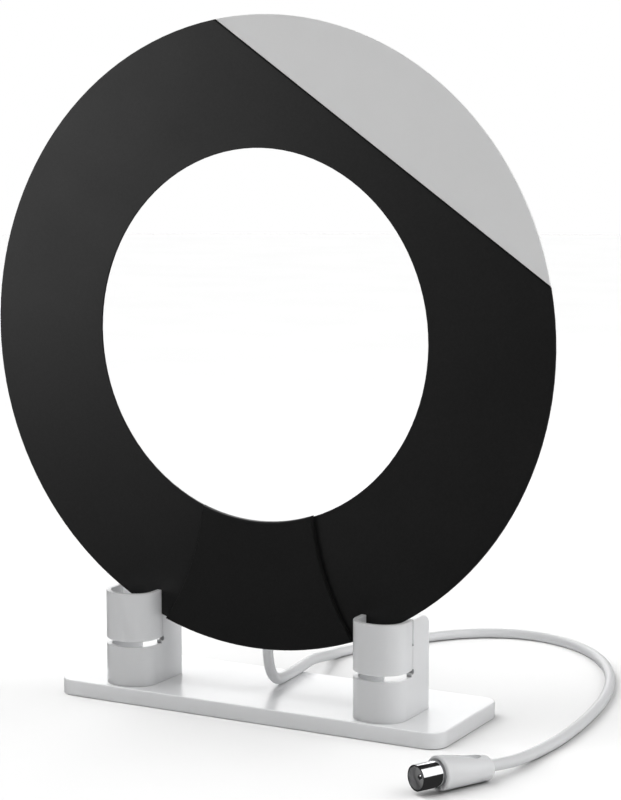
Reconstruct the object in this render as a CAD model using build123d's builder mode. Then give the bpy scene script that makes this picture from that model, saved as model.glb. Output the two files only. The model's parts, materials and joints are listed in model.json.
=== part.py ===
from build123d import *
import os
from math import cos, pi, radians, sin, sqrt, tan

# Indoor TV loop antenna: a flat ring on edge in two clip posts on a weighted base, with a lead
# and a coaxial plug. Millimetres. X runs along the base, -Y is the front, +Z is up, and the
# origin is under the middle of the base, on the surface that it stands on.

# ---- driving dimensions ----------------------------------------------------------------------
# ring
RING_R = 125.0
HOLE_R = 73.8
RING_Y = -12.2
RING_Z = 151.3
FILM_T = 0.3
FOIL_T = 0.2
RING_T = 1.0
CHORD_DISTANCE = 90.0
CHORD_NORMAL_DEG = 54.9
STRIP_W = 0.7
STRIP_PROUD = 0.1
FOIL_INNER_R = 80.0
FOIL_OUTER_R = 119.0
FOIL_GAP_DEG = 6.0

# base
BASE_L = 174.5
BASE_W = 57.8
BASE_TOP = 6.6
BASE_BOTTOM = 0.3
BASE_CORNER_R = 7.2
BASE_EDGE_R = 0.5
BASE_WALL = 1.8
COVER_T = 1.2
COVER_GAP = 0.15
BALLAST = (80.0, 44.0, 2.8)
BALLAST_CORNER_R = 2.0
FOOT_R = 5.0
FOOT_T = 1.2
FOOT_CHAMFER = 0.2
FOOT_PITCH = (154.0, 37.0)
COVER_SCREW_PITCH = (93.0, 37.0)
COVER_BOSS_R = 3.0
COVER_PILOT_BLIND = 0.9
COVER_SCREW_BLIND = 0.45

# posts and their spring jaws
POST_X = 56.95
POST_HALF_W = 11.05
POST_BACK_Y = 3.5
POST_NOSE_Y = -17.7
POST_NOSE_DEPTH = 9.5
POST_TOP = 45.1
POST_WALL = 2.2
POST_FLOOR_T = 3.0
POST_BACK_CORNER_R = 1.5
POST_EDGE_R = 0.35
POST_BACK_TOP_R = 7.5
POST_BOSS_R = 3.5
POST_BOSS_TOP = 14.0
POST_SCREW_TIP_GAP = 1.0
POST_SCREW_Y = (-19.0, -4.0)
SLIT_W = 1.2
SLIT_BOTTOM = 34.9
GROOVE_BOTTOM = 22.9
GROOVE_TOP = 25.2
GROOVE_END_Y = -13.2
RELIEF_R = 1.1
RELIEF_Z = 24.7
FLEXURE_GAP = 0.1

# housing on the ring
COVER_TOP_R = 73.3
COVER_PROUD = 2.2
COVER_WALL = 1.2
COVER_EDGE_R = 0.6
COVER_LIP = 0.5
FLANK_TOP_X = 24.8
FLANK_MID = (30.2, -93.0)
FLANK_END_X = 43.0
REAR_TOP_R = 79.0
REAR_DEPTH = 11.5
REAR_WALL = 1.4
REAR_BOTTOM = -113.0
HOUSING_SCREWS = ((19.5, -86.0), (30.0, -105.0))
HOUSING_BOSS_R = 2.1
HOUSING_BOSS_END = 3.7
HOUSING_COLUMN_R = 3.2
LUG_SPOT = (13.0, -92.0)
LUG_HEAD_T = 0.6
BOARD = (29.0, 25.0, 1.0)
BOARD_Z = -95.0
BOARD_BACK = 3.5
BOARD_PEG_SPOTS = (12.5, 10.5)
BOARD_PEG_R = 1.5
CAN = (20.0, 15.0, 4.0)
CAN_Z = -91.0
CAN_SHEET = 0.4

# lead
CABLE_R = 2.15
GLAND_X = -0.3
GLAND_BACK = 7.0
GLAND_END = -124.0
GLAND_TOP_R = 4.2
GLAND_END_R = 3.3
GLAND_NECK_R = 3.2
GLAND_FLANGE_R = 3.5
TAIL_TOP = -99.0
CLAMP_Z = -103.0
CLAMP_LENGTH = 4.0
CLAMP_SHEET = 0.6
CLAMP_FOOT = 2.4

# plug, IEC 61169-2 male
PLUG_FACE = (102.1, -80.7, 6.55)
PLUG_HEADING_DEG = 64.0
BARREL_R = 4.75
BARREL_BORE_R = 4.15
BARREL_LENGTH = 9.4
BARREL_ROOT_R = 4.4
BARREL_ROOT_LENGTH = 6.0
PIN_R = 1.17
PIN_SETBACK = 1.5
PIN_END = 14.0
INSULATOR_FRONT = 3.0
PLUG_FRONT_R = 6.5
PLUG_FRONT_EDGE_R = 1.0
PLUG_RECESS_R = 5.4
PLUG_RECESS = 0.8
PLUG_REAR = (5.2, 4.5)
PLUG_REAR_DROP = 2.0
PLUG_LENGTH = 32.7
PLUG_REAR_EDGE_R = 1.4
GRIP = (5.6, 2.8)
GRIP_CENTRE = 23.5
GRIP_DEPTH = 1.15
GRIP_TILT = 0.05

# screws: shank radius, pilot radius, clearance radius, head radius, head height
SCREW_R = 1.4
PILOT_R = 1.45
CLEAR_R = 1.7
HEAD_R = 2.8
HEAD_H = 1.6
SMALL_SCREW_R = 1.2
SMALL_PILOT_R = 1.25
SMALL_CLEAR_R = 1.4
SMALL_HEAD_R = 2.3
SMALL_HEAD_H = 1.2
FIT_GAP = 0.05

# share of a run that the lead's arcs take, and the reach of cutting shapes past every piece
ARC_SHARE = 0.45
MARGIN = 1.0
WIDE = 2 * RING_R

# route of the lead: the boot's mouth, down to the base, over its back edge, round on the
# floor and into the back of the plug
CABLE_LIE = BASE_TOP + CABLE_R + FIT_GAP
CABLE_ROUTE = [
    (-0.3, -5.2, 27.2),
    (-0.3, -5.2, 18.5),
    (-0.7, 1.5, 9.1),
    (-1.5, 14.0, CABLE_LIE),
    (-2.6, 27.0, CABLE_LIE + 0.1),
    (-4.6, 42.0, 8.9),
    (-8.4, 59.0, 5.6),
    (-12.0, 72.0, 2.9),
    (-11.8, 83.0, CABLE_R),
    (-7.0, 95.0, CABLE_R),
    (2.0, 110.0, CABLE_R),
    (11.5, 126.5, CABLE_R),
    (24.5, 141.5, CABLE_R),
    (44.0, 151.0, CABLE_R),
    (66.0, 148.0, CABLE_R),
    (87.0, 133.5, CABLE_R),
    (104.0, 109.0, CABLE_R),
    (115.5, 78.0, CABLE_R),
    (121.7, 45.0, CABLE_R),
    (124.2, 6.0, CABLE_R),
    (122.6, -17.0, 2.2),
    (121.5, -31.0, 3.1),
    (120.4, -42.3, 4.3),
    (116.0, -52.2, 5.0),
]

os.makedirs("parts", exist_ok=True)

# ---- derived places --------------------------------------------------------------------------
RING_FRONT = RING_Y - RING_T / 2
RING_BACK = RING_Y + RING_T / 2
FILM_BACK = RING_FRONT + FILM_T
FOIL_BACK = FILM_BACK + FOIL_T
BASE_CEILING = BASE_TOP - BASE_WALL
COVER_TOP = BASE_BOTTOM + COVER_T
BOARD_PLANE = RING_Y + BOARD_BACK
SIDE_SIGNS = (("left", -1), ("right", 1))
PLUG_PLANE = Plane(
    origin=PLUG_FACE,
    x_dir=(-sin(radians(PLUG_HEADING_DEG)), cos(radians(PLUG_HEADING_DEG)), 0),
    z_dir=(cos(radians(PLUG_HEADING_DEG)), sin(radians(PLUG_HEADING_DEG)), 0),
)


def ring_plane(y):
    """Upright plane at y, centred on the ring; sketch X is world X, sketch Y is up,
    and a positive extrusion goes towards the front."""
    return Plane(origin=(0, y, RING_Z), x_dir=(1, 0, 0), z_dir=(0, -1, 0))


def save(piece, label):
    """Name a finished piece and write it to its own STEP file."""
    piece.part.label = label
    export_step(piece.part, f"parts/{label}.step")


def mirrored_spots(spots):
    """The given spots and their mirror images across the middle."""
    return [(sign * x, z) for x, z in spots for sign in (-1, 1)]


SCREW_SPOTS = mirrored_spots(HOUSING_SCREWS)
LUG_SPOTS = mirrored_spots([LUG_SPOT])


# ---- base ------------------------------------------------------------------------------------
with BuildPart() as base_shell:
    with BuildSketch(Plane.XY.offset(BASE_BOTTOM)):
        RectangleRounded(BASE_L, BASE_W, BASE_CORNER_R)
    extrude(amount=BASE_TOP - BASE_BOTTOM)
    fillet(base_shell.faces().sort_by(Axis.Z)[-1].edges(), BASE_EDGE_R)
    with BuildSketch(Plane.XY.offset(BASE_BOTTOM)):
        RectangleRounded(
            BASE_L - 2 * BASE_WALL, BASE_W - 2 * BASE_WALL, BASE_CORNER_R - BASE_WALL
        )
    extrude(amount=BASE_CEILING - BASE_BOTTOM, mode=Mode.SUBTRACT)
    with BuildSketch(Plane.XY.offset(COVER_TOP)):
        with GridLocations(*COVER_SCREW_PITCH, 2, 2):
            Circle(COVER_BOSS_R)
    extrude(amount=BASE_CEILING - COVER_TOP)
    with BuildSketch(Plane.XY.offset(COVER_TOP)):
        with GridLocations(*COVER_SCREW_PITCH, 2, 2):
            Circle(SMALL_PILOT_R)
    extrude(amount=BASE_CEILING - COVER_TOP + COVER_PILOT_BLIND, mode=Mode.SUBTRACT)
    with BuildSketch(Plane.XY.offset(BASE_CEILING)):
        with Locations(*[(sign * POST_X, y) for sign in (-1, 1) for y in POST_SCREW_Y]):
            Circle(CLEAR_R)
    extrude(amount=BASE_WALL, mode=Mode.SUBTRACT)
save(base_shell, "base_shell")

with BuildPart() as base_bottom_cover:
    with BuildSketch(Plane.XY.offset(BASE_BOTTOM)):
        RectangleRounded(
            BASE_L - 2 * (BASE_WALL + COVER_GAP),
            BASE_W - 2 * (BASE_WALL + COVER_GAP),
            BASE_CORNER_R - BASE_WALL - COVER_GAP,
        )
    extrude(amount=COVER_T)
    with BuildSketch(Plane.XY.offset(BASE_BOTTOM)):
        with GridLocations(*FOOT_PITCH, 2, 2):
            Circle(FOOT_R + 2 * FIT_GAP)
    extrude(amount=FOOT_T - BASE_BOTTOM, mode=Mode.SUBTRACT)
    with Locations(Plane(origin=(0, 0, BASE_BOTTOM), z_dir=(0, 0, -1))):
        with GridLocations(*COVER_SCREW_PITCH, 2, 2):
            CounterSinkHole(
                radius=SMALL_CLEAR_R, counter_sink_radius=SMALL_HEAD_R + FIT_GAP, depth=COVER_T
            )
save(base_bottom_cover, "base_bottom_cover")

with BuildPart() as ballast_plate:
    with BuildSketch(Plane.XY.offset(COVER_TOP)):
        RectangleRounded(BALLAST[0], BALLAST[1], BALLAST_CORNER_R)
    extrude(amount=BALLAST[2])
save(ballast_plate, "ballast_plate")

with BuildPart() as rubber_feet:
    with BuildSketch(Plane.XY):
        with GridLocations(*FOOT_PITCH, 2, 2):
            Circle(FOOT_R)
    extrude(amount=FOOT_T)
    chamfer(rubber_feet.faces().group_by(Axis.Z)[0].edges(), FOOT_CHAMFER)
save(rubber_feet, "rubber_feet")

with BuildPart() as base_cover_screws:
    with GridLocations(*COVER_SCREW_PITCH, 2, 2):
        with Locations((0, 0, BASE_BOTTOM)):
            Cone(
                SMALL_HEAD_R,
                SMALL_SCREW_R,
                SMALL_HEAD_R - SMALL_SCREW_R,
                align=(Align.CENTER, Align.CENTER, Align.MIN),
            )
            Cylinder(
                SMALL_SCREW_R,
                BASE_CEILING - BASE_BOTTOM + COVER_SCREW_BLIND,
                align=(Align.CENTER, Align.CENTER, Align.MIN),
            )
save(base_cover_screws, "base_cover_screws")

with BuildPart() as post_screws:
    with Locations(*[(sign * POST_X, y, BASE_CEILING) for sign in (-1, 1) for y in POST_SCREW_Y]):
        Cylinder(HEAD_R, HEAD_H, align=(Align.CENTER, Align.CENTER, Align.MAX))
        Cylinder(
            SCREW_R,
            POST_BOSS_TOP - BASE_CEILING - POST_SCREW_TIP_GAP,
            align=(Align.CENTER, Align.CENTER, Align.MIN),
        )
save(post_screws, "post_screws")


# ---- posts and jaws --------------------------------------------------------------------------
def post_outline(centre_x, inset, back):
    """Plan of a post, or of its hollow: a flat back, straight sides and a half-oval nose."""
    half = POST_HALF_W - inset
    with BuildSketch(Plane.XY.offset(BASE_TOP), mode=Mode.PRIVATE) as plan:
        with BuildLine():
            Line((centre_x - half, POST_NOSE_Y), (centre_x - half, back))
            Line((centre_x - half, back), (centre_x + half, back))
            Line((centre_x + half, back), (centre_x + half, POST_NOSE_Y))
            EllipticalCenterArc(
                (centre_x, POST_NOSE_Y), half, POST_NOSE_DEPTH - inset, start_angle=180, arc_size=180
            )
        make_face()
        fillet(plan.vertices().group_by(Axis.Y)[-1], POST_BACK_CORNER_R)
    return plan.sketch


def side_prism(centre_x, outline_points, back_top_r):
    """A side view, given as Y and Z points, run across the post's full width. The relief hole
    is left out of it, and the top of the back is rounded where a radius is given."""
    start = centre_x - POST_HALF_W - MARGIN
    with BuildPart(mode=Mode.PRIVATE) as prism:
        with BuildSketch(Plane.YZ.offset(start)) as side:
            with BuildLine():
                Polyline(*outline_points, close=True)
            make_face()
            if back_top_r:
                corner = side.vertices().sort_by(lambda v: v.X + v.Y)[-1]
                fillet(corner, back_top_r)
            with Locations((RING_Y, RELIEF_Z)):
                Circle(RELIEF_R, mode=Mode.SUBTRACT)
        extrude(amount=2 * (POST_HALF_W + MARGIN))
    return prism.part


SLIT_BACK = RING_Y + SLIT_W / 2
SLIT_FRONT = RING_Y - SLIT_W / 2
FRONT_CLEAR = POST_NOSE_Y - POST_NOSE_DEPTH - MARGIN
POST_SIDE = [
    (POST_BACK_Y, BASE_TOP),
    (POST_BACK_Y, POST_TOP),
    (SLIT_BACK, POST_TOP),
    (SLIT_BACK, SLIT_BOTTOM),
    (RING_Y + FLEXURE_GAP / 2, SLIT_BOTTOM),
    (RING_Y + FLEXURE_GAP / 2, RELIEF_Z),
    (GROOVE_END_Y, RELIEF_Z),
    (GROOVE_END_Y, GROOVE_BOTTOM),
    (FRONT_CLEAR, GROOVE_BOTTOM),
    (FRONT_CLEAR, BASE_TOP),
]
JAW_SIDE = [
    (RING_Y - FLEXURE_GAP / 2, GROOVE_TOP),
    (RING_Y - FLEXURE_GAP / 2, SLIT_BOTTOM),
    (SLIT_FRONT, SLIT_BOTTOM),
    (SLIT_FRONT, POST_TOP),
    (FRONT_CLEAR, POST_TOP),
    (FRONT_CLEAR, GROOVE_TOP),
]

for side_name, sign in SIDE_SIGNS:
    centre = sign * POST_X
    outer_plan = post_outline(centre, 0, POST_BACK_Y)
    hollow_plan = post_outline(centre, POST_WALL, POST_BACK_Y + 2 * POST_BACK_CORNER_R)
    post_side = side_prism(centre, POST_SIDE, POST_BACK_TOP_R)
    jaw_side = side_prism(centre, JAW_SIDE, None)

    with BuildPart() as post:
        extrude(outer_plan, amount=POST_TOP - BASE_TOP)
        extrude(hollow_plan, amount=POST_TOP - BASE_TOP, mode=Mode.SUBTRACT)
        extrude(outer_plan, amount=POST_FLOOR_T)
        with Locations(*[(centre, y, BASE_TOP) for y in POST_SCREW_Y]):
            Cylinder(
                POST_BOSS_R,
                POST_BOSS_TOP - BASE_TOP,
                align=(Align.CENTER, Align.CENTER, Align.MIN),
            )
            Cylinder(
                PILOT_R,
                POST_BOSS_TOP - BASE_TOP,
                align=(Align.CENTER, Align.CENTER, Align.MIN),
                mode=Mode.SUBTRACT,
            )
        add(post_side, mode=Mode.INTERSECT)
        lower_rim = post.faces().filter_by_position(Axis.Z, GROOVE_BOTTOM, GROOVE_BOTTOM)
        fillet(lower_rim.edges().filter_by(GeomType.LINE, reverse=True), POST_EDGE_R)
    save(post, f"{side_name}_post")

    with BuildPart() as jaw:
        extrude(outer_plan, amount=POST_TOP - BASE_TOP)
        extrude(hollow_plan, amount=POST_TOP - BASE_TOP, mode=Mode.SUBTRACT)
        add(jaw_side, mode=Mode.INTERSECT)
        rims = jaw.faces().filter_by(Axis.Z).edges().filter_by(GeomType.LINE, reverse=True)
        fillet(rims, POST_EDGE_R)
    save(jaw, f"{side_name}_clip_jaw")


# ---- ring ------------------------------------------------------------------------------------
def chord_band(near, far):
    """Rectangle across the ring between two distances from its centre, square to the chord."""
    with BuildSketch(mode=Mode.PRIVATE) as band:
        with Locations(Location((0, 0, 0), (0, 0, CHORD_NORMAL_DEG))):
            with Locations(((near + far) / 2, 0)):
                Rectangle(far - near, WIDE)
    return band.sketch


def foil_sector(sign):
    """One element: half of the ring less a gap at its top and its bottom."""
    with BuildSketch(mode=Mode.PRIVATE) as sector:
        Circle(FOIL_OUTER_R)
        Circle(FOIL_INNER_R, mode=Mode.SUBTRACT)
        edge = (WIDE * sin(radians(FOIL_GAP_DEG)), WIDE * cos(radians(FOIL_GAP_DEG)))
        with BuildLine():
            Polyline(
                (0, 0),
                (sign * edge[0], edge[1]),
                (sign * WIDE, edge[1]),
                (sign * WIDE, -edge[1]),
                (sign * edge[0], -edge[1]),
                close=True,
            )
        make_face(mode=Mode.INTERSECT)
        with Locations(*SCREW_SPOTS):
            Circle(2 * HOUSING_BOSS_R, mode=Mode.SUBTRACT)
    return sector.sketch


def through_holes():
    """Passages for the housing's four bosses and the two contact lugs."""
    with Locations(*SCREW_SPOTS):
        Circle(HOUSING_BOSS_R + 2 * FIT_GAP, mode=Mode.SUBTRACT)
    with Locations(*LUG_SPOTS):
        Circle(SCREW_R + FIT_GAP, mode=Mode.SUBTRACT)


with BuildPart() as disc_rear_panel:
    with BuildSketch(ring_plane(RING_BACK)):
        Circle(RING_R)
        Circle(HOLE_R, mode=Mode.SUBTRACT)
        through_holes()
    extrude(amount=RING_T - FILM_T)
    with BuildSketch(ring_plane(FOIL_BACK)):
        add(foil_sector(-1))
        add(foil_sector(1))
    extrude(amount=FOIL_T, mode=Mode.SUBTRACT)
save(disc_rear_panel, "disc_rear_panel")

for side_name, sign in SIDE_SIGNS:
    with BuildPart() as foil:
        with BuildSketch(ring_plane(FOIL_BACK)):
            add(foil_sector(sign))
            with Locations(*LUG_SPOTS):
                Circle(SCREW_R + FIT_GAP, mode=Mode.SUBTRACT)
        extrude(amount=FOIL_T)
    save(foil, f"{side_name}_antenna_foil")

with BuildPart() as disc_front_film:
    with BuildSketch(ring_plane(FILM_BACK)):
        Circle(RING_R)
        Circle(HOLE_R, mode=Mode.SUBTRACT)
        through_holes()
        add(chord_band(CHORD_DISTANCE - STRIP_W / 2, WIDE), mode=Mode.SUBTRACT)
    extrude(amount=FILM_T)
save(disc_front_film, "disc_front_film")

with BuildPart() as light_front_segment:
    with BuildSketch(ring_plane(FILM_BACK)):
        Circle(RING_R)
        add(chord_band(CHORD_DISTANCE + STRIP_W / 2, WIDE), mode=Mode.INTERSECT)
    extrude(amount=FILM_T)
save(light_front_segment, "light_front_segment")

with BuildPart() as divider_strip:
    with BuildSketch(ring_plane(FILM_BACK)):
        Circle(RING_R)
        add(
            chord_band(CHORD_DISTANCE - STRIP_W / 2, CHORD_DISTANCE + STRIP_W / 2),
            mode=Mode.INTERSECT,
        )
    extrude(amount=FILM_T + STRIP_PROUD)
save(divider_strip, "divider_strip")


# ---- housing ---------------------------------------------------------------------------------
def on_circle(radius, x):
    """Height below the ring's centre of a circle's lower half at x."""
    return -sqrt(radius**2 - x**2)


def housing_outline(top_r, inset, bottom):
    """Front view of the housing: a top arc, two hollow flanks, and the ring's rim below, or a
    straight bottom edge where a height is given. Inset draws the inside of its wall."""
    top_x = FLANK_TOP_X - inset
    mid = (FLANK_MID[0] - inset, FLANK_MID[1])
    end_x = FLANK_END_X - inset
    low_r = RING_R - inset
    top_r = top_r + inset
    right = [(top_x, on_circle(top_r, top_x)), mid, (end_x, on_circle(low_r, end_x))]
    left = [(-x, z) for x, z in reversed(right)]
    with BuildSketch(mode=Mode.PRIVATE) as outline:
        with BuildLine():
            ThreePointArc(left[2], (0, -top_r), right[0])
            ThreePointArc(*right)
            ThreePointArc(right[2], (0, -low_r), left[0])
            ThreePointArc(*left)
        make_face()
        if bottom is not None:
            with Locations((0, bottom + inset)):
                Rectangle(WIDE, WIDE, align=(Align.CENTER, Align.MIN), mode=Mode.INTERSECT)
    return outline.sketch


with BuildPart() as housing_front_cover:
    with BuildSketch(ring_plane(RING_FRONT)):
        add(housing_outline(COVER_TOP_R, 0, None))
    extrude(amount=COVER_PROUD)
    fillet(housing_front_cover.faces().sort_by(Axis.Y)[0].edges(), COVER_EDGE_R)
    with BuildSketch(ring_plane(RING_FRONT)):
        add(housing_outline(COVER_TOP_R, COVER_WALL + COVER_LIP, None))
    extrude(amount=COVER_PROUD - COVER_WALL, mode=Mode.SUBTRACT)
    with BuildSketch(ring_plane(RING_FRONT - COVER_PROUD + COVER_WALL)):
        with Locations(*SCREW_SPOTS):
            Circle(HOUSING_BOSS_R)
            Circle(SMALL_PILOT_R, mode=Mode.SUBTRACT)
    extrude(amount=-(COVER_PROUD - COVER_WALL + RING_T + HOUSING_BOSS_END))
save(housing_front_cover, "housing_front_cover")

REAR_OUTER_Y = RING_BACK + REAR_DEPTH
REAR_INNER_Y = REAR_OUTER_Y - REAR_WALL
BOSS_END_Y = RING_BACK + HOUSING_BOSS_END
GLAND_Y = RING_Y + GLAND_BACK
GLAND_PLANE = Plane.XY.offset(RING_Z)
with BuildPart() as housing_rear_cover:
    with BuildSketch(ring_plane(REAR_OUTER_Y)):
        add(housing_outline(REAR_TOP_R, 0, REAR_BOTTOM))
    extrude(amount=REAR_DEPTH)
    fillet(housing_rear_cover.faces().sort_by(Axis.Y)[-1].edges(), COVER_EDGE_R)
    with BuildSketch(ring_plane(REAR_INNER_Y)):
        add(housing_outline(REAR_TOP_R, REAR_WALL, REAR_BOTTOM))
    extrude(amount=REAR_DEPTH - REAR_WALL, mode=Mode.SUBTRACT)
    with BuildSketch(ring_plane(REAR_INNER_Y)):
        with Locations(*SCREW_SPOTS):
            Circle(HOUSING_COLUMN_R)
    extrude(amount=REAR_INNER_Y - BOSS_END_Y)
    with BuildSketch(ring_plane(REAR_INNER_Y)):
        with Locations((0, BOARD_Z)):
            with GridLocations(2 * BOARD_PEG_SPOTS[0], 2 * BOARD_PEG_SPOTS[1], 2, 2):
                Circle(BOARD_PEG_R)
    extrude(amount=REAR_INNER_Y - BOARD_PLANE - BOARD[2])
    with Locations(Plane(origin=(0, REAR_OUTER_Y, RING_Z), x_dir=(-1, 0, 0), z_dir=(0, 1, 0))):
        with Locations(*SCREW_SPOTS):
            CounterBoreHole(
                radius=SMALL_CLEAR_R,
                counter_bore_radius=SMALL_HEAD_R + 2 * FIT_GAP,
                counter_bore_depth=SMALL_HEAD_H + FIT_GAP,
                depth=REAR_OUTER_Y - BOSS_END_Y,
            )
    with BuildSketch(GLAND_PLANE.offset(REAR_BOTTOM)):
        with Locations((GLAND_X, GLAND_Y)):
            Circle(GLAND_NECK_R + FIT_GAP)
    extrude(amount=REAR_WALL, mode=Mode.SUBTRACT)
save(housing_rear_cover, "housing_rear_cover")

with BuildPart() as housing_screws:
    with BuildSketch(ring_plane(REAR_OUTER_Y)):
        with Locations(*SCREW_SPOTS):
            Circle(SMALL_HEAD_R)
    extrude(amount=SMALL_HEAD_H)
    with BuildSketch(ring_plane(REAR_OUTER_Y)):
        with Locations(*SCREW_SPOTS):
            Circle(SMALL_SCREW_R)
    extrude(amount=REAR_OUTER_Y - RING_BACK)
    with BuildSketch(ring_plane(REAR_OUTER_Y)):
        with Locations(*SCREW_SPOTS):
            Rectangle(2 * SMALL_SCREW_R, SMALL_SCREW_R / 2)
            Rectangle(SMALL_SCREW_R / 2, 2 * SMALL_SCREW_R)
    extrude(amount=SMALL_HEAD_H / 2, mode=Mode.SUBTRACT)
save(housing_screws, "housing_screws")

with BuildPart() as circuit_board:
    with BuildSketch(ring_plane(BOARD_PLANE + BOARD[2])):
        with Locations((0, BOARD_Z)):
            Rectangle(BOARD[0], BOARD[1])
    extrude(amount=BOARD[2])
save(circuit_board, "circuit_board")

with BuildPart() as shield_can:
    with BuildSketch(ring_plane(BOARD_PLANE + BOARD[2] + CAN[2])):
        with Locations((0, CAN_Z)):
            Rectangle(CAN[0], CAN[1])
    extrude(amount=CAN[2])
    with BuildSketch(ring_plane(BOARD_PLANE + BOARD[2] + CAN[2] - CAN_SHEET)):
        with Locations((0, CAN_Z)):
            Rectangle(CAN[0] - 2 * CAN_SHEET, CAN[1] - 2 * CAN_SHEET)
    extrude(amount=CAN[2] - CAN_SHEET, mode=Mode.SUBTRACT)
save(shield_can, "shield_can")

with BuildPart() as contact_lugs:
    with BuildSketch(ring_plane(RING_FRONT)):
        with Locations(*LUG_SPOTS):
            Circle(HEAD_R)
    extrude(amount=LUG_HEAD_T)
    with BuildSketch(ring_plane(BOARD_PLANE)):
        with Locations(*LUG_SPOTS):
            Circle(SCREW_R)
    extrude(amount=BOARD_PLANE - RING_FRONT)
save(contact_lugs, "contact_lugs")


# ---- lead: boot, inner end and clamp, on the housing ------------------------------------------
GLAND_PROFILE = [
    (CABLE_R + FIT_GAP, GLAND_END),
    (GLAND_END_R, GLAND_END),
    (GLAND_TOP_R, REAR_BOTTOM),
    (GLAND_NECK_R, REAR_BOTTOM),
    (GLAND_NECK_R, REAR_BOTTOM + REAR_WALL),
    (GLAND_FLANGE_R, REAR_BOTTOM + REAR_WALL),
    (GLAND_FLANGE_R, REAR_BOTTOM + 2 * REAR_WALL),
    (CABLE_R + FIT_GAP, REAR_BOTTOM + 2 * REAR_WALL),
]
GLAND_AXIS = Axis((GLAND_X, GLAND_Y, 0), (0, 0, 1))
with BuildPart() as strain_relief:
    with BuildSketch(Plane(origin=(GLAND_X, GLAND_Y, RING_Z), x_dir=(1, 0, 0), z_dir=(0, -1, 0))):
        with BuildLine():
            Polyline(*GLAND_PROFILE, close=True)
        make_face()
    revolve(axis=GLAND_AXIS)
save(strain_relief, "strain_relief")

with BuildPart() as cable_tail:
    with BuildSketch(GLAND_PLANE.offset(GLAND_END)):
        with Locations((GLAND_X, GLAND_Y)):
            Circle(CABLE_R)
    extrude(amount=TAIL_TOP - GLAND_END)
save(cable_tail, "cable_tail")

CLAMP_INNER_R = CABLE_R + FIT_GAP
CLAMP_OUTER_R = CLAMP_INNER_R + CLAMP_SHEET
BOARD_REAR_Y = BOARD_PLANE + BOARD[2]
with BuildPart() as cable_clamp:
    with BuildSketch(GLAND_PLANE.offset(CLAMP_Z - CLAMP_LENGTH / 2)):
        with Locations((GLAND_X, GLAND_Y)):
            Circle(CLAMP_OUTER_R)
        with Locations((GLAND_X, BOARD_REAR_Y)):
            Rectangle(
                2 * CLAMP_OUTER_R, GLAND_Y - BOARD_REAR_Y, align=(Align.CENTER, Align.MIN)
            )
            Rectangle(
                2 * (CLAMP_OUTER_R + CLAMP_FOOT), CLAMP_SHEET, align=(Align.CENTER, Align.MIN)
            )
        with Locations((GLAND_X, GLAND_Y)):
            Circle(CLAMP_INNER_R, mode=Mode.SUBTRACT)
        with Locations((GLAND_X, BOARD_REAR_Y)):
            Rectangle(
                2 * CLAMP_INNER_R,
                GLAND_Y - BOARD_REAR_Y,
                align=(Align.CENTER, Align.MIN),
                mode=Mode.SUBTRACT,
            )
            Rectangle(WIDE, WIDE, align=(Align.CENTER, Align.MIN), mode=Mode.INTERSECT)
    extrude(amount=CLAMP_LENGTH)
save(cable_clamp, "cable_clamp")


# ---- lead: free cable and plug ----------------------------------------------------------------
def arc_radii(points):
    """Each corner's radius: a share of its shorter run over the tangent of half its turn."""
    vectors = [Vector(*b) - Vector(*a) for a, b in zip(points, points[1:])]
    radii = []
    for before, after in zip(vectors, vectors[1:]):
        half_turn = radians(before.get_angle(after) / 2)
        radii.append(ARC_SHARE * min(before.length, after.length) / tan(half_turn))
    return radii


CABLE_RADII = arc_radii(CABLE_ROUTE)
print("cable arc radii", [round(radius, 1) for radius in CABLE_RADII])
with BuildPart() as cable:
    with BuildLine() as cable_line:
        FilletPolyline(*CABLE_ROUTE, radius=CABLE_RADII)
    with BuildSketch(Plane(origin=CABLE_ROUTE[0], z_dir=(0, 0, -1))):
        Circle(CABLE_R)
    sweep()
cable_length = cable_line.wire().length
print("cable length", round(cable_length, 1))
print("volume", round(cable.part.volume, 1), "section times length", round(pi * CABLE_R**2 * cable_length, 1))
save(cable, "cable")

REAR_TOP = PLUG_REAR[1] - PLUG_REAR_DROP
TOP_SLOPE = (PLUG_FRONT_R - REAR_TOP) / (PLUG_LENGTH - BARREL_LENGTH)
GRIP_TOP = PLUG_FRONT_R - TOP_SLOPE * (GRIP_CENTRE - BARREL_LENGTH)
GRIP_SLOPE = TOP_SLOPE + GRIP_TILT
GRIP_PLANE = Plane(
    origin=PLUG_PLANE.from_local_coords((0, GRIP_TOP - GRIP_DEPTH, GRIP_CENTRE)),
    x_dir=PLUG_PLANE.z_dir - Vector(0, 0, GRIP_SLOPE),
    z_dir=Vector(0, 0, 1) + PLUG_PLANE.z_dir * GRIP_SLOPE,
)
PLUG_AXIS = Axis((0, 0, 0), PLUG_PLANE.z_dir)
with BuildPart() as plug_body:
    with BuildSketch(PLUG_PLANE.offset(BARREL_LENGTH)):
        Circle(PLUG_FRONT_R)
    with BuildSketch(PLUG_PLANE.offset(PLUG_LENGTH)):
        with Locations((0, -PLUG_REAR_DROP)):
            Ellipse(*PLUG_REAR)
    loft()
    fillet(plug_body.faces().sort_by(PLUG_AXIS)[-1].edges(), PLUG_REAR_EDGE_R)
    fillet(plug_body.faces().sort_by(PLUG_AXIS)[0].edges(), PLUG_FRONT_EDGE_R)
    with BuildSketch(PLUG_PLANE.offset(BARREL_LENGTH)):
        Circle(PLUG_RECESS_R)
    extrude(amount=PLUG_RECESS, mode=Mode.SUBTRACT)
    with BuildSketch(PLUG_PLANE.offset(BARREL_LENGTH)):
        Circle(BARREL_ROOT_R)
    extrude(amount=BARREL_ROOT_LENGTH, mode=Mode.SUBTRACT)
    with BuildSketch(GRIP_PLANE):
        Ellipse(*GRIP)
    extrude(amount=PLUG_FRONT_R, mode=Mode.SUBTRACT)
save(plug_body, "plug_body")

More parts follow.
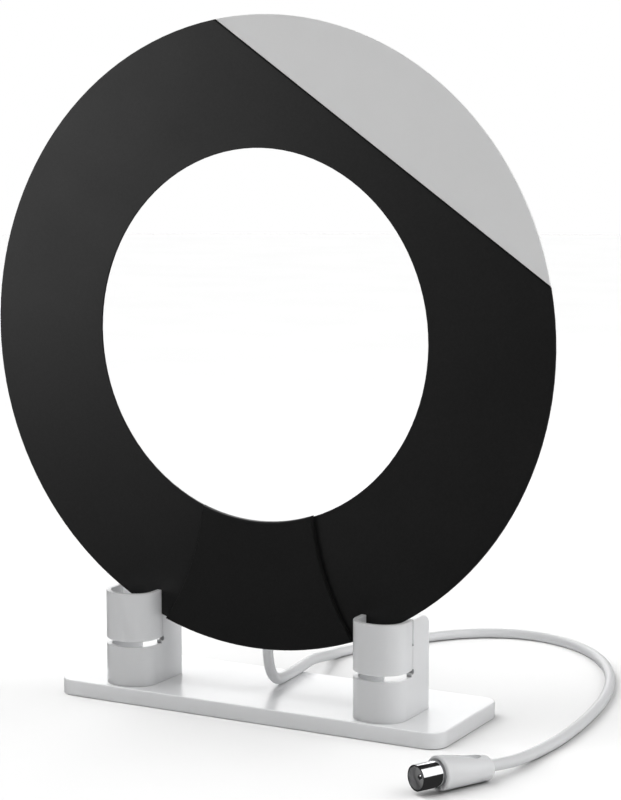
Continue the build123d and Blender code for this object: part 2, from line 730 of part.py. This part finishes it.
with BuildPart() as plug_barrel:
    with BuildSketch(PLUG_PLANE):
        Circle(BARREL_R)
    extrude(amount=BARREL_LENGTH)
    with BuildSketch(PLUG_PLANE.offset(BARREL_LENGTH)):
        Circle(BARREL_ROOT_R)
    extrude(amount=BARREL_ROOT_LENGTH)
    with BuildSketch(PLUG_PLANE):
        Circle(BARREL_BORE_R)
    extrude(amount=BARREL_LENGTH + BARREL_ROOT_LENGTH, mode=Mode.SUBTRACT)
save(plug_barrel, "plug_barrel")

with BuildPart() as plug_insulator:
    with BuildSketch(PLUG_PLANE.offset(INSULATOR_FRONT)):
        Circle(BARREL_BORE_R)
        Circle(PIN_R, mode=Mode.SUBTRACT)
    extrude(amount=BARREL_LENGTH + BARREL_ROOT_LENGTH - INSULATOR_FRONT)
save(plug_insulator, "plug_insulator")

with BuildPart() as plug_centre_pin:
    with BuildSketch(PLUG_PLANE.offset(PIN_SETBACK)):
        Circle(PIN_R)
    extrude(amount=PIN_END - PIN_SETBACK)
    tip = plug_centre_pin.faces().sort_by(PLUG_AXIS)[0]
    fillet(tip.edges(), PIN_R / 2)
save(plug_centre_pin, "plug_centre_pin")
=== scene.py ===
import json
import math

import bmesh
import bpy
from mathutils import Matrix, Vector


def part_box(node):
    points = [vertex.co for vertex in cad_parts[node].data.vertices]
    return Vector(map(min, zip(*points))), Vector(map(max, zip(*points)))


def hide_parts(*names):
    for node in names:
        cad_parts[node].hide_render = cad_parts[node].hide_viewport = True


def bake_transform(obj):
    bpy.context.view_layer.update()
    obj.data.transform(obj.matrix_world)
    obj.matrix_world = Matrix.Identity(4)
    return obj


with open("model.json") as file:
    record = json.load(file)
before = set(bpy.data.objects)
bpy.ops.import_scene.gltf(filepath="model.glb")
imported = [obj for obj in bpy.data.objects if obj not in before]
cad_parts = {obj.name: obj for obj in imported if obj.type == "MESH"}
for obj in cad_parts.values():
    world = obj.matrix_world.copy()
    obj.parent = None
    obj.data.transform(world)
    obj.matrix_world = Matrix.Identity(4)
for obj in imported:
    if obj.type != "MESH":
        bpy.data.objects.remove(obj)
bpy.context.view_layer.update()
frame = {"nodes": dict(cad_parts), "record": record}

# ---- camera: metres, degrees, and millimetres for lens and sensor --------------------------------
CAMERA_PLACE = Vector((0.4062, -0.7221, 0.2310))
CAMERA_AZIMUTH_DEG = 28.35
CAMERA_DOWN_DEG = 7.30
CAMERA_NEAR = 0.01
LENS_MM = 93.94
LONG_SIDE_SENSOR_MM = 36.0

# ---- floor and world -----------------------------------------------------------------------------
FLOOR_RADIUS = 4.0
FLOOR_SIDES = 96
WORLD_STRENGTH_SEEN = 1.0
WORLD_STRENGTH_LIT = 0.03

# ---- lead, in metres: heights are those of its middle line ---------------------------------------
CABLE_D = 0.0043
CABLE_SIDES = 28
ROUTE_STEPS = 10
ON_FLOOR = CABLE_D / 2
CABLE_ROUTE = [
    (-0.0003, -0.0052, 0.0272),
    (-0.0003, -0.0052, 0.0185),
    (-0.0007, 0.0015, 0.0091),
    (-0.0015, 0.0140, 0.0088),
    (-0.0026, 0.0270, 0.0089),
    (-0.0046, 0.0420, 0.0089),
    (-0.0084, 0.0590, 0.0056),
    (-0.0120, 0.0720, 0.0029),
    (-0.0118, 0.0830, ON_FLOOR),
    (-0.0070, 0.0950, ON_FLOOR),
    (0.0020, 0.1100, ON_FLOOR),
    (0.0115, 0.1265, ON_FLOOR),
    (0.0245, 0.1415, ON_FLOOR),
    (0.0440, 0.1510, ON_FLOOR),
    (0.0660, 0.1480, ON_FLOOR),
    (0.0870, 0.1335, ON_FLOOR),
    (0.1040, 0.1090, ON_FLOOR),
    (0.1155, 0.0780, ON_FLOOR),
    (0.1217, 0.0450, ON_FLOOR),
    (0.1242, 0.0060, ON_FLOOR),
    (0.1226, -0.0170, 0.0022),
    (0.1215, -0.0310, 0.0031),
    (0.1204, -0.0423, 0.0043),
    (0.1160, -0.0522, 0.0050),
]

# ---- ring: the straight line that bounds its light segment, and its inked edge -------------------
RING_CENTRE = (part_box("disc_rear_panel")[0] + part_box("disc_rear_panel")[1]) / 2
PANEL_BACK_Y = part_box("disc_rear_panel")[1].y
CHORD_NORMAL_DEG = 54.9
CHORD_DISTANCE = 0.090
INK_STOPS_BEFORE_BACK = 0.00005
INK = (0.012, 0.012, 0.013)

# ---- materials: lengths in metres, grain in ripples per metre ------------------------------------
RIPPLES_PER_CLOUD = 40
CLOUD_DETAIL = 4
GRAIN_DETAIL = 3
ROUGHNESS_SWING = 0.05
BUMP_STRENGTH = 0.4
GLOW_DEPTH = 0.0025
# painted shade in crevices: the dark colour it falls towards, and how fast it sets in
CREVICE_SHADE_COLOUR = (0.06, 0.06, 0.06)
CREVICE_SHADE_STEEPNESS = 2.0
WHITE = (0.84, 0.845, 0.855)
LOOKS = {
    # white_gloss gets painted shade in its own crevices, darkening slits and hollows
    "white_gloss": dict(
        colour=WHITE, roughness=0.24, variation=0.01, grain=2500, glow=0.5, crevice_shade=0.003
    ),
    "steel_plate": dict(colour=(0.55, 0.56, 0.57), roughness=0.38, metallic=1.0, grain=700),
    "foot_rubber": dict(colour=(0.03, 0.03, 0.03), roughness=0.8, grain=3000),
    "screw_steel": dict(colour=(0.62, 0.62, 0.62), roughness=0.3, metallic=1.0, grain=1800),
    "panel_light": dict(colour=(0.92, 0.92, 0.92), roughness=0.42, grain=900),
    "film_dark": dict(
        colour=(0.011, 0.011, 0.011),
        roughness=0.4,
        variation=0.5,
        grain=1300,
        relief=0.00003,
        specular=0.25,
        speckle=0.8,
    ),
    "strip_black": dict(colour=(0.003, 0.003, 0.003), roughness=0.6, grain=2200, specular=0.2),
    "foil_copper": dict(colour=(0.85, 0.46, 0.28), roughness=0.3, metallic=1.0, grain=900),
    "housing_black": dict(
        colour=(0.0145, 0.0145, 0.0145),
        roughness=0.38,
        variation=0.4,
        grain=1500,
        relief=0.00002,
        specular=0.1,
        speckle=0.8,
    ),
    "board_green": dict(colour=(0.02, 0.16, 0.06), roughness=0.35, grain=1200, coat=0.3),
    "tinned_steel": dict(colour=(0.72, 0.72, 0.70), roughness=0.28, metallic=1.0, grain=900),
    "lug_brass": dict(colour=(0.80, 0.58, 0.26), roughness=0.28, metallic=1.0, grain=1500),
    "cable_white": dict(
        colour=(0.78, 0.785, 0.795), roughness=0.4, variation=0.015, grain=3200, glow=0.2
    ),
    "plug_white": dict(colour=WHITE, roughness=0.36, variation=0.01, grain=3000, glow=0.3),
    "plug_nickel": dict(colour=(0.75, 0.75, 0.76), roughness=0.12, metallic=1.0, grain=1500),
    "insulator_grey": dict(colour=(0.58, 0.58, 0.58), roughness=0.5, grain=2500),
}


# ---- camera, light, floor ------------------------------------------------------------------------
def add_camera():
    data = bpy.data.cameras.new("camera")
    data.lens = LENS_MM
    data.sensor_width = LONG_SIDE_SENSOR_MM
    data.clip_start = CAMERA_NEAR
    camera = bpy.data.objects.new("camera", data)
    camera.location = CAMERA_PLACE
    turn, down = math.radians(CAMERA_AZIMUTH_DEG), math.radians(CAMERA_DOWN_DEG)
    ahead = Vector(
        (-math.sin(turn) * math.cos(down), math.cos(turn) * math.cos(down), -math.sin(down))
    )
    camera.rotation_mode = "QUATERNION"
    camera.rotation_quaternion = ahead.to_track_quat("-Z", "Y")
    bpy.context.scene.collection.objects.link(camera)
    bpy.context.scene.camera = camera


def add_sun(name, source, strength, angle_deg):
    """Sun whose light comes from the source's direction, softened by its angle."""
    data = bpy.data.lights.new(name, "SUN")
    data.energy = strength
    data.angle = math.radians(angle_deg)
    sun = bpy.data.objects.new(name, data)
    sun.rotation_mode = "QUATERNION"
    sun.rotation_quaternion = Vector(source).to_track_quat("Z", "Y")
    bpy.context.scene.collection.objects.link(sun)
    return sun


def add_panel_light(name, place, aim, size, power):
    """Soft box: an area light of that size at place, facing aim."""
    data = bpy.data.lights.new(name, "AREA")
    data.shape = "RECTANGLE"
    data.size, data.size_y = size
    data.energy = power
    light = bpy.data.objects.new(name, data)
    light.location = place
    light.rotation_mode = "QUATERNION"
    light.rotation_quaternion = (Vector(aim) - Vector(place)).to_track_quat("-Z", "Y")
    bpy.context.scene.collection.objects.link(light)
    return light


def light_only(light, thing):
    """Keeps a light on one object, as a paper sweep has lamps of its own."""
    kept = bpy.data.collections.new("lit_by_" + light.name)
    kept.objects.link(thing)
    light.light_linking.receiver_collection = kept


def add_world():
    """White to look at, and a dim studio to be lit by."""
    world = bpy.data.worlds.new("studio")
    bpy.context.scene.world = world
    world.use_nodes = True
    nodes, links = world.node_tree.nodes, world.node_tree.links
    nodes.clear()
    out = nodes.new("ShaderNodeOutputWorld")
    mix = nodes.new("ShaderNodeMixShader")
    path = nodes.new("ShaderNodeLightPath")
    links.new(path.outputs["Is Camera Ray"], mix.inputs["Fac"])
    for side, strength in ((1, WORLD_STRENGTH_LIT), (2, WORLD_STRENGTH_SEEN)):
        background = nodes.new("ShaderNodeBackground")
        background.inputs["Color"].default_value = (1, 1, 1, 1)
        background.inputs["Strength"].default_value = strength
        links.new(background.outputs["Background"], mix.inputs[side])
    links.new(mix.outputs["Shader"], out.inputs["Surface"])


def add_floor():
    """Plain paper, which glossy surfaces do not see."""
    mesh = bpy.data.meshes.new("floor")
    shape = bmesh.new()
    bmesh.ops.create_circle(shape, cap_ends=True, segments=FLOOR_SIDES, radius=FLOOR_RADIUS)
    shape.to_mesh(mesh)
    shape.free()
    floor = bpy.data.objects.new("floor", mesh)
    bpy.context.scene.collection.objects.link(floor)
    floor.data.materials.append(
        paint("floor_paper", colour=(0.5, 0.5, 0.5), roughness=0.6, grain=300, specular=0.0)
    )
    floor.visible_glossy = False
    return floor


# ---- materials -----------------------------------------------------------------------------------
def paint(
    name,
    colour,
    roughness,
    grain,
    metallic=0.0,
    variation=0.03,
    relief=0.00001,
    coat=0.0,
    specular=0.5,
    glow=0.0,
    speckle=0.0,
    crevice_shade=0.0,
):
    """Surface with a little variation in colour, a little in gloss, and a fine moulded grain.
    Relief is the grain's height. Glow is how much light goes a little way into the plastic
    before it comes out again. Speckle is the grain's share of the colour's variation. Crevice
    shade is how wide a gap is still painted dark inside, as painted shade in the piece's hollows."""
    material = bpy.data.materials.new(name)
    material.use_nodes = True
    nodes, links = material.node_tree.nodes, material.node_tree.links
    shader = nodes["Principled BSDF"]
    clouds = add_noise(material, grain / RIPPLES_PER_CLOUD, CLOUD_DETAIL)
    fine = add_noise(material, grain, GRAIN_DETAIL)

    patches = nodes.new("ShaderNodeMix")
    patches.inputs["Factor"].default_value = speckle
    links.new(clouds, patches.inputs["A"])
    links.new(fine, patches.inputs["B"])
    tint = nodes.new("ShaderNodeValToRGB")
    dark = [c * (1 - variation) for c in colour]
    light = [min(1.0, c * (1 + variation)) for c in colour]
    tint.color_ramp.elements[0].color = (*dark, 1)
    tint.color_ramp.elements[1].color = (*light, 1)
    links.new(patches.outputs["Result"], tint.inputs["Fac"])
    links.new(tint.outputs["Color"], shader.inputs["Base Color"])
    # painted shade: the colour falls towards dark where the piece's own walls close in
    if crevice_shade > 0:
        paint_crevice_shade(material, crevice_shade)

    gloss = nodes.new("ShaderNodeMapRange")
    gloss.inputs["To Min"].default_value = roughness - ROUGHNESS_SWING
    gloss.inputs["To Max"].default_value = roughness + ROUGHNESS_SWING
    links.new(clouds, gloss.inputs["Value"])
    links.new(gloss.outputs["Result"], shader.inputs["Roughness"])

    bump = nodes.new("ShaderNodeBump")
    bump.inputs["Strength"].default_value = BUMP_STRENGTH
    bump.inputs["Distance"].default_value = relief
    links.new(fine, bump.inputs["Height"])
    links.new(bump.outputs["Normal"], shader.inputs["Normal"])

    shader.inputs["Metallic"].default_value = metallic
    shader.inputs["Specular IOR Level"].default_value = specular
    shader.inputs["Coat Weight"].default_value = coat
    shader.inputs["Subsurface Weight"].default_value = glow
    shader.inputs["Subsurface Radius"].default_value = (1.0, 1.0, 1.0)
    shader.inputs["Subsurface Scale"].default_value = GLOW_DEPTH
    return material


def add_noise(material, scale, detail):
    """Socket of a noise that stays put on the object."""
    nodes, links = material.node_tree.nodes, material.node_tree.links
    place = nodes.new("ShaderNodeTexCoord")
    noise = nodes.new("ShaderNodeTexNoise")
    noise.inputs["Scale"].default_value = scale
    noise.inputs["Detail"].default_value = detail
    links.new(place.outputs["Object"], noise.inputs["Vector"])
    return noise.outputs["Fac"]


def mix_with_base(material, factor, colour, side):
    """Mixes a colour with the base colour. On side A it shows where the factor is 0, and on
    side B where the factor is 1."""
    nodes, links = material.node_tree.nodes, material.node_tree.links
    shader = nodes["Principled BSDF"]
    tint = shader.inputs["Base Color"].links[0].from_socket
    mix = nodes.new("ShaderNodeMix")
    mix.data_type = "RGBA"
    mix.inputs[side].default_value = (*colour, 1)
    links.new(factor, mix.inputs["Factor"])
    links.new(tint, mix.inputs["B" if side == "A" else "A"])
    links.new(mix.outputs["Result"], shader.inputs["Base Color"])


def paint_crevice_shade(material, width):
    """Painted shade: lets the base colour fall towards dark where the piece's own walls close in on
    it, where shade falls in its slits and hollows.
    """
    nodes, links = material.node_tree.nodes, material.node_tree.links
    openness = nodes.new("ShaderNodeAmbientOcclusion")
    openness.only_local = True
    openness.inputs["Distance"].default_value = width
    steep = nodes.new("ShaderNodeMath")
    steep.operation = "POWER"
    steep.inputs[1].default_value = CREVICE_SHADE_STEEPNESS
    links.new(openness.outputs["AO"], steep.inputs[0])
    mix_with_base(material, steep.outputs["Value"], CREVICE_SHADE_COLOUR, side="A")


def less_than(material, value, limit):
    """Socket that gives 1 where the value is under the limit, otherwise 0."""
    test = material.node_tree.nodes.new("ShaderNodeMath")
    test.operation = "LESS_THAN"
    test.inputs[1].default_value = limit
    material.node_tree.links.new(value, test.inputs[0])
    return test.outputs["Value"]


def ink_panel_edge(material):
    """Inks the ring's rear panel dark on its thin edge, except on its back and all round the
    light segment."""
    nodes, links = material.node_tree.nodes, material.node_tree.links
    place = nodes.new("ShaderNodeTexCoord")
    axes = nodes.new("ShaderNodeSeparateXYZ")
    links.new(place.outputs["Object"], axes.inputs["Vector"])
    turn = math.radians(CHORD_NORMAL_DEG)
    normal = Vector((math.cos(turn), 0, math.sin(turn)))
    along = nodes.new("ShaderNodeVectorMath")
    along.operation = "DOT_PRODUCT"
    along.inputs[1].default_value = normal
    links.new(place.outputs["Object"], along.inputs[0])

    ahead = less_than(material, axes.outputs["Y"], PANEL_BACK_Y - INK_STOPS_BEFORE_BACK)
    below = less_than(material, along.outputs["Value"], CHORD_DISTANCE + RING_CENTRE.dot(normal))
    inked = nodes.new("ShaderNodeMath")
    inked.operation = "MULTIPLY"
    links.new(ahead, inked.inputs[0])
    links.new(below, inked.inputs[1])
    mix_with_base(material, inked.outputs["Value"], INK, side="B")


def make_materials():
    """One material for each material slot of the record."""
    materials = {name: paint(name, **look) for name, look in LOOKS.items()}
    ink_panel_edge(materials["panel_light"])
    return materials


def dress_nodes(materials):
    """Gives every CAD node the material of its slot."""
    for entry in frame["record"]["subparts"]:
        node = frame["nodes"][entry["node"]]
        node.data.materials.clear()
        node.data.materials.append(materials[entry["material_slot"]])


# ---- lead ----------------------------------------------------------------------------------------
def route_line(points):
    """The smooth line of a route: a NURBS spline with the points as its control points."""
    data = bpy.data.curves.new("route", "CURVE")
    data.dimensions = "3D"
    data.resolution_u = ROUTE_STEPS
    spline = data.splines.new("NURBS")
    spline.points.add(len(points) - 1)
    for point, place in zip(spline.points, points):
        point.co = (*place, 1)
    spline.order_u = 3
    spline.use_endpoint_u = True
    route = bpy.data.objects.new("route", data)
    bpy.context.scene.collection.objects.link(route)
    bpy.context.view_layer.update()
    mesh = bpy.data.meshes.new_from_object(route)
    line = [vertex.co.copy() for vertex in mesh.vertices]
    bpy.data.objects.remove(route)
    bpy.data.meshes.remove(mesh)
    return line


def tube_mesh(name, line, radius, sides):
    """Round tube along a line, smooth round its sides and flat at its closed ends."""
    shape = bmesh.new()
    angles = [2 * math.pi * k / sides for k in range(sides)]
    across = Vector((1, 0, 0))
    rings = []
    for i, centre in enumerate(line):
        ahead = (line[min(i + 1, len(line) - 1)] - line[max(i - 1, 0)]).normalized()
        across = (across - ahead * across.dot(ahead)).normalized()
        up = ahead.cross(across)
        spokes = [radius * (math.cos(angle) * across + math.sin(angle) * up) for angle in angles]
        rings.append([shape.verts.new(centre + spoke) for spoke in spokes])
    for a, b in zip(rings, rings[1:]):
        for k in range(sides):
            shape.faces.new((a[k], a[(k + 1) % sides], b[(k + 1) % sides], b[k]))
    shape.faces.new(reversed(rings[0]))
    shape.faces.new(rings[-1])
    bmesh.ops.recalc_face_normals(shape, faces=shape.faces)
    mesh = bpy.data.meshes.new(name)
    shape.to_mesh(mesh)
    shape.free()
    for polygon in mesh.polygons:
        polygon.use_smooth = len(polygon.vertices) == 4
    return mesh


def add_cable(material):
    """The lead from the boot to the plug."""
    line = route_line(CABLE_ROUTE)
    mesh = tube_mesh("coaxial_cable", line, CABLE_D / 2, CABLE_SIDES)
    cable = bpy.data.objects.new("coaxial_cable", mesh)
    bpy.context.scene.collection.objects.link(cable)
    cable.data.materials.append(material)
    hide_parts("cable")
    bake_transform(cable)


# ---- scene ---------------------------------------------------------------------------------------
def add_object_lights():
    """The lights for the whole scene. The left panel shows in glossy surfaces only."""
    add_sun("back_left", source=(-0.7, 0.7, 0.5), strength=1.2, angle_deg=50)
    add_sun("overhead_left", source=(-0.5, -0.06, 0.87), strength=0.75, angle_deg=50)
    add_sun("overhead_right", source=(0.5, -0.06, 0.87), strength=0.95, angle_deg=50)
    sheen = add_panel_light(
        "left_sheen",
        place=(-0.95, -0.95, 0.34),
        aim=(-0.10, 0.0, 0.18),
        size=(0.5, 0.6),
        power=5.2,
    )
    sheen.visible_diffuse = False
    add_panel_light(
        "right_panel",
        place=(0.86, 0.22, 0.56),
        aim=(0.10, -0.08, 0.01),
        size=(0.8, 0.95),
        power=3.45,
    )


def add_lamps_for_one(floor, base):
    """The suns that light the floor alone, and the one that lights the base alone."""
    left = add_sun("floor_lamp_left", source=(-0.6, -0.35, 0.7), strength=4.75, angle_deg=75)
    light_only(left, floor)
    right = add_sun("floor_lamp_right", source=(0.5, 0.5, 0.7), strength=1.1, angle_deg=60)
    light_only(right, floor)
    above = add_sun("base_lamp", source=(-0.25, -0.4, 0.88), strength=0.75, angle_deg=70)
    light_only(above, base)


bpy.context.scene.view_settings.view_transform = "Standard"
add_camera()
add_world()
add_object_lights()
add_lamps_for_one(floor=add_floor(), base=frame["nodes"]["base_shell"])
MATERIALS = make_materials()
dress_nodes(MATERIALS)
add_cable(MATERIALS["cable_white"])
